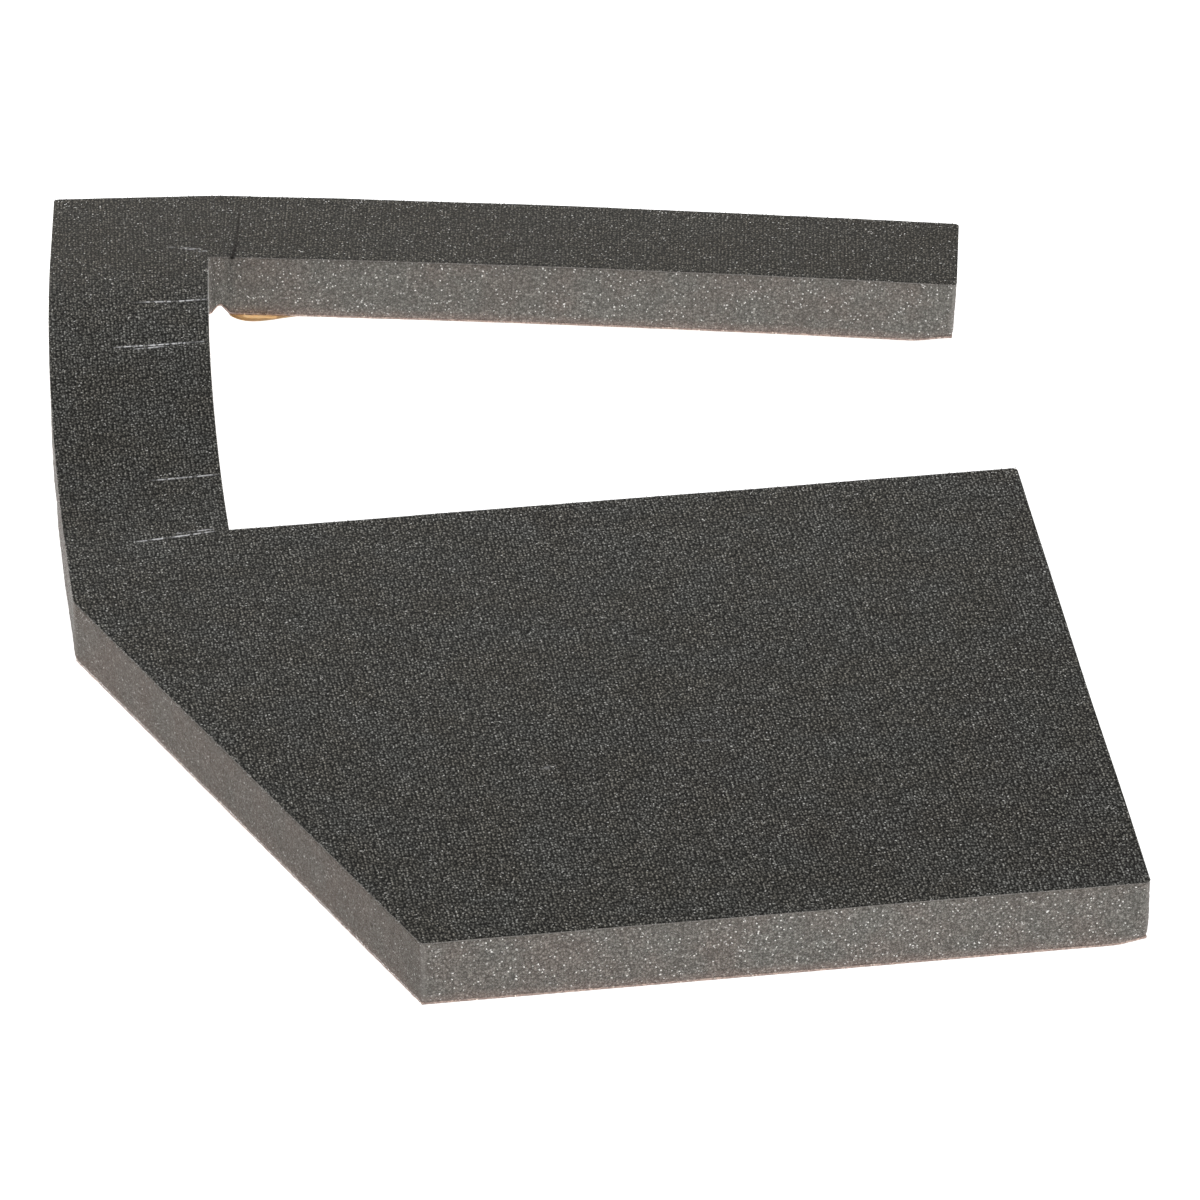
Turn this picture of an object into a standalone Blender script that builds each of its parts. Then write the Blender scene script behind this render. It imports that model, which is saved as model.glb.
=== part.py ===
"""Self-adhesive foam back pad, die cut to a C: a wide panel, a strut and a long arm.

Four layers, from the bottom up: release liner, adhesive film, foam core and face
fabric. The pad is cut flat. Here it lies the way soft foam does once it has been
handled: the strut is bent sideways so that the C closes a little, the arm is folded
a few degrees more at the inner corner, and both stand slightly off the ground.

Flat coordinates are across and along, with their origin at the inner corner where the
strut leaves the panel. The world origin is on the ground under the middle of the pad.
"""

import math

import bmesh
import bpy
from mathutils import Vector

MM = 0.001
OBJECT_NAME = "back_pad"

# Flat outline, as cut.
PANEL_LENGTH = 193.4 * MM
PANEL_DEPTH = 187.3 * MM
SIDE_LEAN = math.radians(1.8)
FRONT_LEFT_CORNER = 20.8 * MM
CHAMFER_TOP = (-40.7 * MM, -27.7 * MM)
STRUT_LENGTH = 125.7 * MM
ARM_WIDTH = 34.2 * MM
ARM_LENGTH = 190.2 * MM
STRUT_AND_ARM = STRUT_LENGTH + ARM_WIDTH

# Layers, with the gap that keeps neighbouring solids apart.
LINER_THICKNESS = 0.25 * MM
FILM_THICKNESS = 0.25 * MM
FOAM_THICKNESS = 14.8 * MM
FABRIC_THICKNESS = 0.7 * MM
GAP = 0.3 * MM

# Sideways bend of the strut, then the fold across the arm.
STRUT_TURN = math.radians(5.7)
STRUT_TURN_POWER = 1.2
FOLD_TURN = math.radians(4.1)
FOLD_MIDDLE = 7.0 * MM
FOLD_HALF_WIDTH = 5.0 * MM

# Height of the underside over the ground.
CORNER_RISE = 7.8 * MM
ARM_ROLL = math.radians(1.9)
ARM_PITCH = math.radians(1.0)
ARM_DROOP = math.radians(2.0)

# The liner cannot shrink with the fold, so it stands out of it as a shallow wave.
WAVE_START = 2.0 * MM
WAVE_LENGTH = 18.5 * MM
WAVE_DEPTH = 2.7 * MM
WAVE_POINTS = 8

# Cuts across the flat mesh, which let it follow the bend.
STRUT_CUTS = 10
FOLD_CUTS = 5
ARM_CUTS = 9

TINY = 0.001 * MM
INTEGRATION_STEPS = 60
SLOPE_STEP = 0.5 * MM

FABRIC_COLOUR = (0.062, 0.060, 0.054, 1.0)
FOAM_COLOUR = (0.185, 0.165, 0.150, 1.0)
FILM_COLOUR = (0.62, 0.50, 0.36, 1.0)
LINER_COLOUR = (0.60, 0.38, 0.16, 1.0)


def lean(along):
    """Sideways shift of the side edges, which are cut a little off square."""
    return math.tan(SIDE_LEAN) * along


def walk(heading, distance):
    """Forward and sideways travel along a path whose heading changes on the way."""
    step = distance / INTEGRATION_STEPS
    forward = 0.0
    sideways = 0.0
    for index in range(INTEGRATION_STEPS):
        angle = heading((index + 0.5) * step)
        forward += math.cos(angle) * step
        sideways += math.sin(angle) * step
    return forward, sideways


def strut_heading(along):
    """Direction of the strut, turning from straight back towards the right."""
    return STRUT_TURN * (along / STRUT_LENGTH) ** STRUT_TURN_POWER


def fold_heading(across):
    """Extra turn of the arm towards the panel, which sets in smoothly at the fold."""
    t = (across - FOLD_MIDDLE + FOLD_HALF_WIDTH) / (2.0 * FOLD_HALF_WIDTH)
    t = min(max(t, 0.0), 1.0)
    return FOLD_TURN * t * t * (3.0 - 2.0 * t)


def fold_arm(across, along):
    """Turn the arm about its back edge, which keeps its length."""
    if across <= 0.0:
        return across, along
    forward, sideways = walk(fold_heading, across)
    angle = fold_heading(across)
    depth = along - STRUT_AND_ARM
    return (
        forward + depth * math.sin(angle),
        STRUT_AND_ARM - sideways + depth * math.cos(angle),
    )


def turn_with_strut(across, along, station):
    """Turn a point with the strut's section at a station; the outer edge keeps its length."""
    outer_edge = CHAMFER_TOP[0]
    forward, sideways = walk(strut_heading, station)
    angle = strut_heading(station)
    beyond = along - station
    width = across - outer_edge
    x = outer_edge + sideways + beyond * math.sin(angle) + width * math.cos(angle)
    y = forward + beyond * math.cos(angle) - width * math.sin(angle)
    return x, y


def is_on_arm(across, along):
    """The arm with the block at its root, which turn with the end of the strut."""
    beside_strut = along > STRUT_LENGTH / 2.0 and across > lean(STRUT_LENGTH)
    return beside_strut or along > STRUT_LENGTH - TINY


def rise(across, along):
    """Height of the underside: an arch along the strut, then the arm's fall."""
    roll = math.tan(ARM_ROLL)
    t = min(max(along / STRUT_LENGTH, 0.0), 1.0)
    square = 3.0 * CORNER_RISE + roll * STRUT_LENGTH
    cube = 2.0 * CORNER_RISE + roll * STRUT_LENGTH
    height = square * t ** 2 - cube * t ** 3
    height -= roll * max(along - STRUT_LENGTH, 0.0)
    if is_on_arm(across, along):
        reach = max(across - FOLD_MIDDLE, 0.0)
        height -= math.tan(ARM_PITCH) * reach
        height -= math.tan(ARM_DROOP) * reach ** 2 / (2.0 * ARM_LENGTH)
    return height


def underside_point(across, along):
    """Place of a point of the underside, still measured from the flat origin."""
    x, y = across, along
    if is_on_arm(across, along):
        x, y = fold_arm(across, along)
        x, y = turn_with_strut(x, y, STRUT_LENGTH)
    elif along > 0.0:
        x, y = turn_with_strut(across, along, along)
    return Vector((x, y, rise(across, along)))


def bent_point(across, along, height):
    """Place of a point at a height over the underside, square to the bent pad."""
    base = underside_point(across, along)
    to_right = underside_point(across + SLOPE_STEP, along) - base
    to_back = underside_point(across, along + SLOPE_STEP) - base
    return base + to_right.cross(to_back).normalized() * height


def pad_outline():
    """Corners of the flat shape, anticlockwise from the front left."""
    outer_back_left = CHAMFER_TOP[0] + lean(STRUT_AND_ARM - CHAMFER_TOP[1])
    return [
        (FRONT_LEFT_CORNER, -PANEL_DEPTH),
        (PANEL_LENGTH - lean(PANEL_DEPTH), -PANEL_DEPTH),
        (PANEL_LENGTH, 0.0),
        (0.0, 0.0),
        (lean(STRUT_LENGTH), STRUT_LENGTH),
        (lean(STRUT_LENGTH) + ARM_LENGTH, STRUT_LENGTH),
        (lean(STRUT_AND_ARM) + ARM_LENGTH, STRUT_AND_ARM),
        (outer_back_left, STRUT_AND_ARM),
        CHAMFER_TOP,
    ]


def liner_outline():
    """The pad's outline with the wave that the fold pushes out under the arm."""
    corners = pad_outline()
    arm_root = corners.index((lean(STRUT_LENGTH), STRUT_LENGTH)) + 1
    start = lean(STRUT_LENGTH) + WAVE_START
    wave = []
    for index in range(WAVE_POINTS + 1):
        share = index / WAVE_POINTS
        depth = WAVE_DEPTH * math.sin(math.pi * share)
        wave.append((start + WAVE_LENGTH * share, STRUT_LENGTH - depth))
    return corners[:arm_root] + wave + corners[arm_root:]


def pad_centre():
    """Middle of the bent pad's footprint, which becomes the world origin."""
    total = LINER_THICKNESS + FILM_THICKNESS + FOAM_THICKNESS + FABRIC_THICKNESS + 3.0 * GAP
    points = []
    for across, along in pad_outline():
        points.append(bent_point(across, along, 0.0))
        points.append(bent_point(across, along, total))
    middle_x = (min(p.x for p in points) + max(p.x for p in points)) / 2.0
    middle_y = (min(p.y for p in points) + max(p.y for p in points)) / 2.0
    return Vector((middle_x, middle_y, 0.0))


def flat_sheet(outline, thickness):
    """Mesh of the outline as a flat sheet, centred on its own thickness."""
    curve = bpy.data.curves.new("outline", "CURVE")
    curve.dimensions = "2D"
    curve.fill_mode = "BOTH"
    curve.extrude = thickness / 2.0
    spline = curve.splines.new("POLY")
    spline.points.add(len(outline) - 1)
    for point, (across, along) in zip(spline.points, outline):
        point.co = (across, along, 0.0, 1.0)
    spline.use_cyclic_u = True
    guide = bpy.data.objects.new("outline", curve)
    bpy.context.scene.collection.objects.link(guide)
    evaluated = guide.evaluated_get(bpy.context.evaluated_depsgraph_get())
    mesh = bpy.data.meshes.new_from_object(evaluated)
    bpy.data.objects.remove(guide)
    bpy.data.curves.remove(curve)
    return mesh


def cut_across(sheet, place, direction, arm_only):
    """Cut the sheet's faces along a plane, on the arm alone or everywhere."""
    limit = STRUT_LENGTH / 2.0 if arm_only else -PANEL_DEPTH
    verts = [v for v in sheet.verts if v.co.y > limit - TINY]
    kept = set(verts)
    edges = [e for e in sheet.edges if all(v in kept for v in e.verts)]
    faces = [f for f in sheet.faces if all(v in kept for v in f.verts)]
    bmesh.ops.bisect_plane(
        sheet, geom=verts + edges + faces, dist=TINY, plane_co=place, plane_no=direction
    )


def cut_for_bending(sheet):
    """Cuts along the strut, through the fold and along the arm."""
    for index in range(STRUT_CUTS + 1):
        along = STRUT_LENGTH * index / STRUT_CUTS
        cut_across(sheet, (0.0, along, 0.0), (0.0, 1.0, 0.0), False)
    fold_start = FOLD_MIDDLE - FOLD_HALF_WIDTH
    fold_end = FOLD_MIDDLE + FOLD_HALF_WIDTH
    for index in range(FOLD_CUTS + 1):
        across = fold_start + (fold_end - fold_start) * index / FOLD_CUTS
        cut_across(sheet, (across, 0.0, 0.0), (1.0, 0.0, 0.0), True)
    for index in range(1, ARM_CUTS):
        across = fold_end + (ARM_LENGTH - fold_end) * index / ARM_CUTS
        cut_across(sheet, (across, 0.0, 0.0), (1.0, 0.0, 0.0), True)


def plain_material(name, colour, roughness):
    material = bpy.data.materials.new(name)
    material.use_nodes = True
    shader = material.node_tree.nodes["Principled BSDF"]
    shader.inputs["Base Color"].default_value = colour
    shader.inputs["Roughness"].default_value = roughness
    shader.inputs["Metallic"].default_value = 0.0
    return material


def add_layer(collection, name, outline, bottom, thickness, centre, material):
    """One layer of the pad: a flat sheet, cut and bent into place."""
    mesh = flat_sheet(outline, thickness)
    mesh.name = name
    sheet = bmesh.new()
    sheet.from_mesh(mesh)
    bmesh.ops.remove_doubles(sheet, verts=sheet.verts, dist=TINY)
    bmesh.ops.dissolve_limit(
        sheet, angle_limit=math.radians(0.1), verts=sheet.verts, edges=sheet.edges
    )
    cut_for_bending(sheet)
    for vert in sheet.verts:
        height = bottom + thickness / 2.0 + vert.co.z
        vert.co = bent_point(vert.co.x, vert.co.y, height) - centre
    bmesh.ops.triangulate(sheet, faces=sheet.faces)
    bmesh.ops.recalc_face_normals(sheet, faces=sheet.faces)
    sheet.to_mesh(mesh)
    sheet.free()
    mesh.materials.clear()
    mesh.materials.append(material)
    collection.objects.link(bpy.data.objects.new(name, mesh))


def build():
    for old in list(bpy.data.objects):
        bpy.data.objects.remove(old)
    collection = bpy.data.collections.new(OBJECT_NAME)
    bpy.context.scene.collection.children.link(collection)
    centre = pad_centre()
    bottom = 0.0
    add_layer(
        collection, "release_liner", liner_outline(), bottom, LINER_THICKNESS, centre,
        plain_material("siliconised_liner", LINER_COLOUR, 0.3),
    )
    bottom += LINER_THICKNESS + GAP
    add_layer(
        collection, "adhesive_film", pad_outline(), bottom, FILM_THICKNESS, centre,
        plain_material("acrylic_adhesive", FILM_COLOUR, 0.35),
    )
    bottom += FILM_THICKNESS + GAP
    add_layer(
        collection, "foam_core", pad_outline(), bottom, FOAM_THICKNESS, centre,
        plain_material("open_cell_foam", FOAM_COLOUR, 0.95),
    )
    bottom += FOAM_THICKNESS + GAP
    add_layer(
        collection, "face_fabric", pad_outline(), bottom, FABRIC_THICKNESS, centre,
        plain_material("charcoal_knit", FABRIC_COLOUR, 0.9),
    )


build()
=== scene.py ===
"""Self-adhesive foam back pad: a knit face on open-cell foam, with glue and a peel-off liner.

Every layer is made flat, in the coordinates it was cut in, and is then bent the way the
pad lies: the strut turns to the right, the arm is folded at the inner corner, and both
stand a little off the floor. Flat coordinates are across, along and height, with their
origin on the underside at the inner corner where the strut leaves the panel.
"""

import math
import random

import bmesh
import bpy
from mathutils import Matrix, Vector, noise


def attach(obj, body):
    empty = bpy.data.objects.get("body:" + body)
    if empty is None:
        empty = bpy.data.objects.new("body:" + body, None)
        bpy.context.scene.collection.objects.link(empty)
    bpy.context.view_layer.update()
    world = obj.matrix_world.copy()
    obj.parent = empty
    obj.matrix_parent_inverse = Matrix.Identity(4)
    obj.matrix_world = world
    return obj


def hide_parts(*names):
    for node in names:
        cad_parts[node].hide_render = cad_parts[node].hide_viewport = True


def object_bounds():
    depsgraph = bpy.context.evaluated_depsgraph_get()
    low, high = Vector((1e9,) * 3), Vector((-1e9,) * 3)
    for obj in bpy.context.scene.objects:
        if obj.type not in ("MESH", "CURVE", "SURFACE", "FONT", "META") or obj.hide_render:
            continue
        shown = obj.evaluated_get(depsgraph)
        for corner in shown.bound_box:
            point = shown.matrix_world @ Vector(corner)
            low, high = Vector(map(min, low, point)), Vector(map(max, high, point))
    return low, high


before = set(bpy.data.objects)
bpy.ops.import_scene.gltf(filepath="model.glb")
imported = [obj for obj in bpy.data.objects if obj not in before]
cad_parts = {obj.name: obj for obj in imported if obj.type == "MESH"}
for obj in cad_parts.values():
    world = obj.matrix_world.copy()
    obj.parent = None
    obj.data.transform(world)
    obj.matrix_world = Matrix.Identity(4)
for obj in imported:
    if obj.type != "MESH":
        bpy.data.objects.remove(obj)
CAD_LOW, CAD_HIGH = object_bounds()

MM = 0.001

# Flat outline, as cut.
PANEL_LENGTH = 193.4 * MM
PANEL_DEPTH = 187.3 * MM
SIDE_LEAN = math.radians(1.8)
FRONT_LEFT_CORNER = 20.8 * MM
CHAMFER_TOP = (-40.7 * MM, -27.7 * MM)
STRUT_LENGTH = 125.7 * MM
ARM_WIDTH = 34.2 * MM
ARM_LENGTH = 190.2 * MM
STRUT_AND_ARM = STRUT_LENGTH + ARM_WIDTH

# Heights of the layers over the underside. Bonded layers touch here.
LINER_TOP = 0.25 * MM
LINER_INSET = 1.1 * MM
GLUE_BOTTOM = 0.28 * MM
GLUE_TOP = 0.85 * MM
FOAM_BOTTOM = 0.8 * MM
FOAM_TOP = 16.5 * MM
KNIT_TOP = 16.87 * MM
KNIT_THICKNESS = 0.38 * MM
PAD_HEIGHT = 16.9 * MM

# Sideways bend of the strut, then the fold across the arm.
STRUT_TURN = math.radians(5.7)
STRUT_TURN_POWER = 1.2
FOLD_TURN = math.radians(4.1)
FOLD_MIDDLE = 7.0 * MM
FOLD_HALF_WIDTH = 5.0 * MM

# Height of the underside over the floor.
CORNER_RISE = 7.8 * MM
ARM_ROLL = math.radians(1.9)
ARM_PITCH = math.radians(1.0)
ARM_DROOP = math.radians(2.0)

# The liner stands out of the fold as a shallow wave.
WAVE_START = 7.0 * MM
WAVE_LENGTH = 19.0 * MM
WAVE_DEPTH = 2.6 * MM
WAVE_POINTS = 24
LINER_GRID = 4.0 * MM

TINY = 0.001 * MM
TRAVEL_STEP = 0.25 * MM
SLOPE_STEP = 0.5 * MM

# Knit: one stitch every rib and course, on a face that is a little uneven.
RIB_PITCH = 0.977 * MM
COURSE_PITCH = 0.970 * MM
LOOP_WIDTH = 0.67 * MM
LOOP_LENGTH = 1.10 * MM
KNIT_GRID = 2.4 * MM
LONG_WAVES_PER_METRE = 45.0
LONG_WAVE_HEIGHT = 0.10 * MM
SHORT_WAVES_PER_METRE = 170.0
SHORT_WAVE_HEIGHT = 0.045 * MM
RIM_RING = 0.22 * MM
RIM_DROP = 0.08 * MM

# Creases in the knit, in millimetres: how strong each is, and the line it follows.
FINE_CUTS = 0.3 * MM
CREASE_REACH = 2.5 * MM
CREASE_HALF_WIDTH = 0.22 * MM
CREASE_HEIGHT = 0.09 * MM
TROUGH_OFFSET = 0.9 * MM
TROUGH_HALF_WIDTH = 0.6 * MM
TROUGH_DEPTH = 0.05 * MM
CREASES = [
    (0.8, [(-14.0, 104.0), (-5.0, 103.8), (3.2, 104.3)]),
    (1.0, [(-20.8, 84.3), (-9.6, 84.5), (2.6, 85.1)]),
    (0.8, [(-15.7, 83.2), (-8.4, 83.7)]),
    (0.9, [(-15.4, 26.1), (-6.8, 26.4), (1.0, 26.8)]),
    (0.9, [(-21.9, -2.1), (-13.3, -1.3), (-3.0, -0.1)]),
    (0.6, [(-12.0, 0.2), (-3.6, 1.0)]),
    (0.5, [(-4.9, 131.3), (0.7, 129.9), (3.6, 128.0)]),
    (0.3, [(95.8, -111.7), (101.3, -112.5)]),
    (0.25, [(60.3, -117.2), (59.5, -119.9), (59.2, -122.4)]),
]

# The furrow across the arm at the fold, in millimetres, widest and deepest at the inner edge.
FURROW = [(12.0, 124.8), (12.3, 128.5), (12.7, 133.0), (12.7, 143.2), (12.6, 151.6), (12.6, 158.0)]
FURROW_HALF_WIDTH = 0.36 * MM
FURROW_WIDENING = 0.44 * MM
FURROW_DEPTH = 0.10 * MM
FURROW_DEEPENING = 0.15 * MM

# Foam: open cells on the die-cut sides.
FOAM_CAP_GRID = 12.0 * MM
WALL_ROWS = 29
WALL_STEP = 0.56 * MM
CORNER_RADIUS = 1.2 * MM
CELL_SIZE = 0.95 * MM
CELL_DEPTH = 0.20 * MM
LARGE_CELL_SPACING = 3.4 * MM
LARGE_CELL_DEPTH = 0.50 * MM
FINE_UNEVENNESS = 0.10 * MM
COARSE_UNEVENNESS = 0.14 * MM

# Foam edges: drawn in where they were cut, notched at the fold, and loose at two corners.
LOWER_EDGE_PULL = 0.22 * MM
UPPER_EDGE_PULL = 0.10 * MM
FOLD_PULL = 0.5 * MM
FOLD_PULL_PLACE = 10.4 * MM
FOLD_PULL_HALF_WIDTH = 1.4 * MM
NOTCH_HEIGHT = 2.5 * MM
NOTCH_LEFT_SLOPE = (4.2 * MM, 7.9 * MM)
NOTCH_RIGHT_SLOPE = (8.4 * MM, 11.6 * MM)
NOTCH_REACH = (1.0 * MM, 8.0 * MM)
CORNER_LIFT = 1.3 * MM
RIGHT_SIDE_BULGE = 0.45 * MM
GLUE_INSET = 0.12 * MM
GLUE_RAGGEDNESS = 0.12 * MM

# Cut yarn ends along the outline, and tufts beside the edges that face back.
FUZZ_SEED = 11
FUZZ_COUNT = 2600
FUZZ_RADIUS = 0.035 * MM
TUFT_COUNT = 700
TUFT_LENGTH = 0.4 * MM
TUFT_BAND = 4.0 * MM

# Camera, aimed from the middle of the pad's box.
LENS_LENGTH = 277.5
SENSOR_WIDTH = 36.0
CAMERA_DISTANCE = 2.2024
CAMERA_ELEVATION = math.radians(31.15)
CAMERA_TURN = math.radians(8.8)
AIM_RIGHT = 2.55 * MM
AIM_FORWARD = 32.26 * MM
AIM_HEIGHT = 16.9 * MM

# Colours of the knit.
KNIT_GROUND = (0.0062, 0.0060, 0.0054, 1.0)
KNIT_OLIVE = (0.321, 0.305, 0.267, 1.0)
KNIT_SLATE = (0.302, 0.301, 0.280, 1.0)
KNIT_MATTED = (0.325, 0.283, 0.222, 1.0)
KNIT_GLINT = (0.80, 0.79, 0.76, 1.0)
# Pale dashes on the creases: partly worn yarn, partly painted glint.
KNIT_WORN_GLINT = (0.74, 0.74, 0.76, 1.0)
# Painted shade in the furrow at the fold.
KNIT_FURROW_SHADE = (0.008, 0.006, 0.005, 1.0)
CUT_YARN_DARK = (0.13, 0.124, 0.114, 1.0)
CUT_YARN_PALE = (0.30, 0.28, 0.26, 1.0)
FUZZ_DARK = (0.22, 0.21, 0.20, 1.0)
FUZZ_PALE = (0.92, 0.91, 0.89, 1.0)

# Colours of the foam, its glue and the liner.
FOAM_DARK_GREY = (0.084, 0.080, 0.072, 1.0)
FOAM_DARK_BROWN = (0.088, 0.077, 0.068, 1.0)
FOAM_PALE_GREY = (0.410, 0.396, 0.362, 1.0)
FOAM_PALE_BROWN = (0.420, 0.378, 0.342, 1.0)
# Painted shade in the pores.
FOAM_PORE_SHADE = (0.045, 0.038, 0.034, 1.0)
FOAM_GLINT = (0.92, 0.90, 0.87, 1.0)
# Painted highlight on the upright corners.
FOAM_CORNER_HIGHLIGHT = (0.30, 0.28, 0.26, 1.0)
# Pinkish band at the bottom of the sides: partly glue stain, partly painted glow.
FOAM_STAIN_GLOW_DARK = (0.180, 0.130, 0.113, 1.0)
FOAM_STAIN_GLOW_PALE = (0.54, 0.42, 0.37, 1.0)
# Painted shade on the sides that face left.
FOAM_LEFT_SIDE_SHADE = (0.108, 0.082, 0.068, 1.0)
GLUE_DARK = (0.26, 0.185, 0.160, 1.0)
GLUE_PALE = (0.60, 0.45, 0.38, 1.0)
GLUE_GLINT = (0.95, 0.83, 0.72, 1.0)
LINER_AMBER = (1.0, 0.66, 0.32, 1.0)
LINER_STRAW = (1.0, 0.74, 0.42, 1.0)


# Bending ------------------------------------------------------------------------------


def lean(along):
    """Sideways shift of the side edges, which are cut a little off square."""
    return math.tan(SIDE_LEAN) * along


def strut_heading(along):
    """Direction of the strut, turning from straight back towards the right."""
    return STRUT_TURN * (max(along, 0.0) / STRUT_LENGTH) ** STRUT_TURN_POWER


def smooth_step(value, low, high):
    """Rises from 0 to 1 between low and high."""
    share = min(max((value - low) / (high - low), 0.0), 1.0)
    return share * share * (3.0 - 2.0 * share)


def fold_heading(across):
    """Extra turn of the arm towards the panel, which sets in smoothly at the fold."""
    start = FOLD_MIDDLE - FOLD_HALF_WIDTH
    end = FOLD_MIDDLE + FOLD_HALF_WIDTH
    return FOLD_TURN * smooth_step(across, start, end)


def travel_table(heading, distance):
    """Forward and sideways travel after each step along a path that turns on the way."""
    travelled = [(0.0, 0.0)]
    for index in range(int(distance / TRAVEL_STEP) + 4):
        angle = heading((index + 0.5) * TRAVEL_STEP)
        forward, sideways = travelled[-1]
        forward += math.cos(angle) * TRAVEL_STEP
        sideways += math.sin(angle) * TRAVEL_STEP
        travelled.append((forward, sideways))
    return travelled


STRUT_TRAVEL = travel_table(strut_heading, STRUT_LENGTH)
FOLD_TRAVEL = travel_table(fold_heading, ARM_LENGTH + 10.0 * MM)


def travel(table, distance):
    """Forward and sideways travel at a distance along a tabled path."""
    place = max(distance, 0.0) / TRAVEL_STEP
    index = min(int(place), len(table) - 2)
    share = place - index
    forward = table[index][0] * (1.0 - share) + table[index + 1][0] * share
    sideways = table[index][1] * (1.0 - share) + table[index + 1][1] * share
    return forward, sideways


def fold_arm(across, along):
    """Turn the arm about its back edge, which keeps its length."""
    if across <= 0.0:
        return across, along
    forward, sideways = travel(FOLD_TRAVEL, across)
    angle = fold_heading(across)
    depth = along - STRUT_AND_ARM
    folded_across = forward + depth * math.sin(angle)
    folded_along = STRUT_AND_ARM - sideways + depth * math.cos(angle)
    return folded_across, folded_along


def turn_with_strut(across, along, station):
    """Turn a point with the strut's section at a station; the outer edge keeps its length."""
    outer_edge = CHAMFER_TOP[0]
    forward, sideways = travel(STRUT_TRAVEL, station)
    angle = strut_heading(station)
    beyond = along - station
    width = across - outer_edge
    x = outer_edge + sideways + beyond * math.sin(angle) + width * math.cos(angle)
    y = forward + beyond * math.cos(angle) - width * math.sin(angle)
    return x, y


def is_on_arm(across, along):
    """The arm with the block at its root, which turn with the end of the strut."""
    beside_strut = across > lean(STRUT_LENGTH) + 0.25 * MM and along > STRUT_LENGTH - 6.0 * MM
    return beside_strut or along > STRUT_LENGTH - TINY


def rise(across, along):
    """Height of the underside: an arch along the strut, then the arm's fall."""
    roll = math.tan(ARM_ROLL)
    share = min(max(along / STRUT_LENGTH, 0.0), 1.0)
    square = 3.0 * CORNER_RISE + roll * STRUT_LENGTH
    cube = 2.0 * CORNER_RISE + roll * STRUT_LENGTH
    height = square * share ** 2 - cube * share ** 3
    height -= roll * max(along - STRUT_LENGTH, 0.0)
    if is_on_arm(across, along):
        reach = max(across - FOLD_MIDDLE, 0.0)
        height -= math.tan(ARM_PITCH) * reach
        height -= math.tan(ARM_DROOP) * reach ** 2 / (2.0 * ARM_LENGTH)
    return height


def underside_point(across, along):
    """Place of a point of the underside, still measured from the flat origin."""
    x, y = across, along
    if is_on_arm(across, along):
        x, y = fold_arm(across, along)
        x, y = turn_with_strut(x, y, STRUT_LENGTH)
    elif along > 0.0:
        x, y = turn_with_strut(across, along, along)
    return Vector((x, y, rise(across, along)))


def bent_point(across, along, height):
    """Place of a point at a height over the underside, square to the bent pad."""
    base = underside_point(across, along)
    if is_on_arm(across, along):
        to_right = underside_point(across + SLOPE_STEP, along) - base
        to_back = underside_point(across, along + SLOPE_STEP) - base
    else:
        to_right = base - underside_point(across - SLOPE_STEP, along)
        to_back = base - underside_point(across, along - SLOPE_STEP)
    return base + to_right.cross(to_back).normalized() * height


def pad_outline():
    """Corners of the flat shape, anticlockwise from the front left."""
    outer_back_left = CHAMFER_TOP[0] + lean(STRUT_AND_ARM - CHAMFER_TOP[1])
    return [
        (FRONT_LEFT_CORNER, -PANEL_DEPTH),
        (PANEL_LENGTH - lean(PANEL_DEPTH), -PANEL_DEPTH),
        (PANEL_LENGTH, 0.0),
        (0.0, 0.0),
        (lean(STRUT_LENGTH), STRUT_LENGTH),
        (lean(STRUT_LENGTH) + ARM_LENGTH, STRUT_LENGTH),
        (lean(STRUT_AND_ARM) + ARM_LENGTH, STRUT_AND_ARM),
        (outer_back_left, STRUT_AND_ARM),
        CHAMFER_TOP,
    ]


def liner_outline():
    """The pad's outline, trimmed back, with the wave that the fold pushes out under the arm."""
    corners = pad_outline()
    trimmed = []
    for index, corner in enumerate(corners):
        here = Vector(corner)
        arriving = (here - Vector(corners[index - 1])).normalized()
        leaving = (Vector(corners[(index + 1) % len(corners)]) - here).normalized()
        inwards = Vector((-arriving.y - leaving.y, arriving.x + leaving.x))
        inwards *= LINER_INSET / (1.0 + arriving.dot(leaving))
        trimmed.append(tuple(here + inwards))
    arm_root = corners.index((lean(STRUT_LENGTH), STRUT_LENGTH)) + 1
    start = lean(STRUT_LENGTH) + WAVE_START
    wave = []
    for index in range(WAVE_POINTS + 1):
        share = index / WAVE_POINTS
        depth = (WAVE_DEPTH + LINER_INSET) * math.sin(math.pi * share ** 0.62) ** 1.3
        wave.append((start + WAVE_LENGTH * share, STRUT_LENGTH + LINER_INSET - depth))
    return trimmed[:arm_root] + wave + trimmed[arm_root:]


def pad_centre():
    """Middle of the bent pad's footprint, which is the world origin."""
    points = []
    for across, along in pad_outline():
        points.append(bent_point(across, along, 0.0))
        points.append(bent_point(across, along, PAD_HEIGHT))
    middle_x = (min(p.x for p in points) + max(p.x for p in points)) / 2.0
    middle_y = (min(p.y for p in points) + max(p.y for p in points)) / 2.0
    return Vector((middle_x, middle_y, 0.0))


CENTRE = pad_centre()


# Mesh work ----------------------------------------------------------------------------


def flat_face(outline):
    """One flat face inside an outline."""
    shape = bmesh.new()
    verts = [shape.verts.new((across, along, 0.0)) for across, along in outline]
    shape.faces.new(verts)
    shape.normal_update()
    return shape


def corner_angle(vert):
    """Angle at a corner of a flat outline, above 180 degrees where it goes inwards."""
    loop = vert.link_loops[0]
    before = loop.link_loop_prev.vert.co - vert.co
    after = loop.link_loop_next.vert.co - vert.co
    return (after.to_2d().angle_signed(before.to_2d()) * -1.0) % (2.0 * math.pi)


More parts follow.
